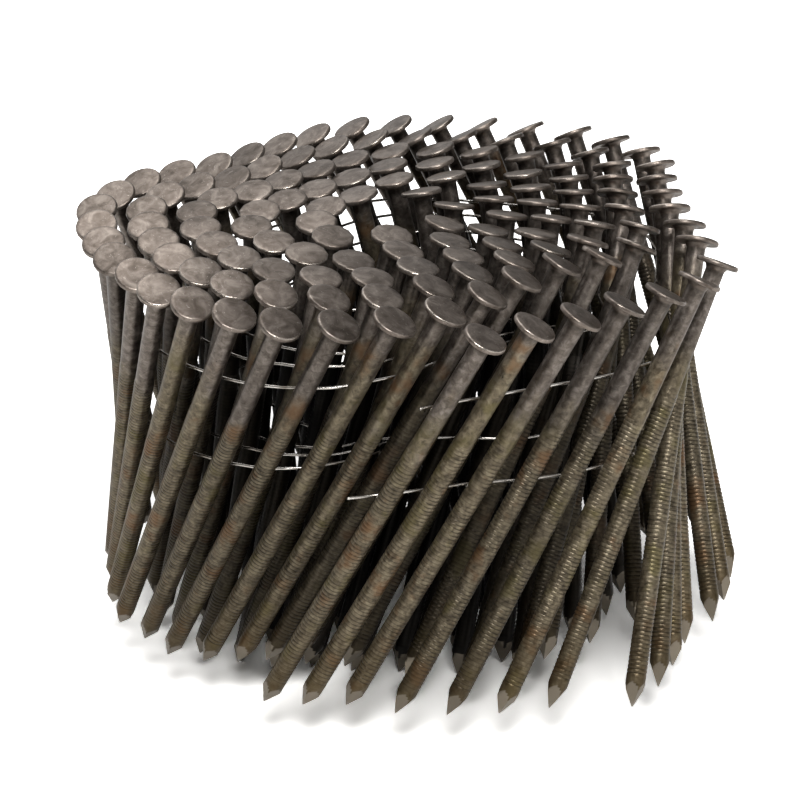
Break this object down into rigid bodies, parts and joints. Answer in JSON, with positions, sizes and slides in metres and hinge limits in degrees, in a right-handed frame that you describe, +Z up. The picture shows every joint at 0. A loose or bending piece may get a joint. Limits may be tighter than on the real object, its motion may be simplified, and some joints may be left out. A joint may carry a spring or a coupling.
{
  "type": "wire-collated nail coil",
  "caption": "Coil of leaning ring-shank nails held side by side by thin steel wires, the magazine load of a pneumatic coil nailer, with a free lead that peels outwards.",
  "frame": {"origin": "on the coil's axis, in the plane that the points of the core's nails stand on", "axes": "+Z up along the coil's axis, from the points to the heads; -Y is the side of the strip's free end; seen from above the strip runs anticlockwise from its free end and winds inwards"},
  "size_m": [0.1117, 0.1139, 0.0753],
  "materials": {
    "nail_steel": "plain drawn steel with a thin brown oil and scale film, worn bright on the rings",
    "wire_steel": "bright drawn steel wire"
  },
  "bodies": {
    "coil": {"outer_turn_nails": "nail_steel", "second_turn_nails": "nail_steel", "third_turn_nails": "nail_steel", "core_nails": "nail_steel", "upper_coil_wire": "wire_steel", "lower_coil_wire": "wire_steel"},
    "lead_8": {"lead_nail_8": "nail_steel", "lead_upper_wire_8": "wire_steel", "lead_lower_wire_8": "wire_steel"},
    "lead_7": {"lead_nail_7": "nail_steel", "lead_upper_wire_7": "wire_steel", "lead_lower_wire_7": "wire_steel"},
    "lead_6": {"lead_nail_6": "nail_steel", "lead_upper_wire_6": "wire_steel", "lead_lower_wire_6": "wire_steel"},
    "lead_5": {"lead_nail_5": "nail_steel", "lead_upper_wire_5": "wire_steel", "lead_lower_wire_5": "wire_steel"},
    "lead_4": {"lead_nail_4": "nail_steel", "lead_upper_wire_4": "wire_steel", "lead_lower_wire_4": "wire_steel"},
    "lead_3": {"lead_nail_3": "nail_steel", "lead_upper_wire_3": "wire_steel", "lead_lower_wire_3": "wire_steel"},
    "lead_2": {"lead_nail_2": "nail_steel", "lead_upper_wire_2": "wire_steel", "lead_lower_wire_2": "wire_steel"},
    "lead_1": {"lead_nail_1": "nail_steel", "lead_upper_wire_1": "wire_steel", "lead_lower_wire_1": "wire_steel"}
  },
  "joints": [
    {"name": "wire_bend_8", "type": "hinge", "parent": "coil", "child": "lead_8", "pos_m": [0.04472, -0.02023, 0.05239], "axis": [0, 0, 1], "range_deg": [0, 15]},
    {"name": "wire_bend_7", "type": "hinge", "parent": "lead_8", "child": "lead_7", "pos_m": [0.04316, -0.0277, 0.05239], "axis": [0, 0, 1], "range_deg": [0, 18.75]},
    {"name": "wire_bend_6", "type": "hinge", "parent": "lead_7", "child": "lead_6", "pos_m": [0.03941, -0.03429, 0.05239], "axis": [0, 0, 1], "range_deg": [0, 18.75]},
    {"name": "wire_bend_5", "type": "hinge", "parent": "lead_6", "child": "lead_5", "pos_m": [0.0337, -0.03931, 0.05239], "axis": [0, 0, 1], "range_deg": [0, 15]},
    {"name": "wire_bend_4", "type": "hinge", "parent": "lead_5", "child": "lead_4", "pos_m": [0.02687, -0.0428, 0.05239], "axis": [0, 0, 1], "range_deg": [0, 6]},
    {"name": "wire_bend_3", "type": "hinge", "parent": "lead_4", "child": "lead_3", "pos_m": [0.01968, -0.04556, 0.05239], "axis": [0, 0, 1], "range_deg": [0, 3]},
    {"name": "wire_bend_2", "type": "hinge", "parent": "lead_3", "child": "lead_2", "pos_m": [0.01252, -0.04837, 0.05239], "axis": [0, 0, 1], "range_deg": [0, 3]},
    {"name": "wire_bend_1", "type": "hinge", "parent": "lead_2", "child": "lead_1", "pos_m": [0.00541, -0.05132, 0.05239], "axis": [0, 0, 1], "range_deg": [0, 3]}
  ],
  "couplings": [
    {"joint": "wire_bend_7", "follows": "wire_bend_8", "ratio": 1.25},
    {"joint": "wire_bend_6", "follows": "wire_bend_8", "ratio": 1.25},
    {"joint": "wire_bend_5", "follows": "wire_bend_8", "ratio": 1},
    {"joint": "wire_bend_4", "follows": "wire_bend_8", "ratio": 0.4},
    {"joint": "wire_bend_3", "follows": "wire_bend_8", "ratio": 0.2},
    {"joint": "wire_bend_2", "follows": "wire_bend_8", "ratio": 0.2},
    {"joint": "wire_bend_1", "follows": "wire_bend_8", "ratio": 0.2}
  ]
}
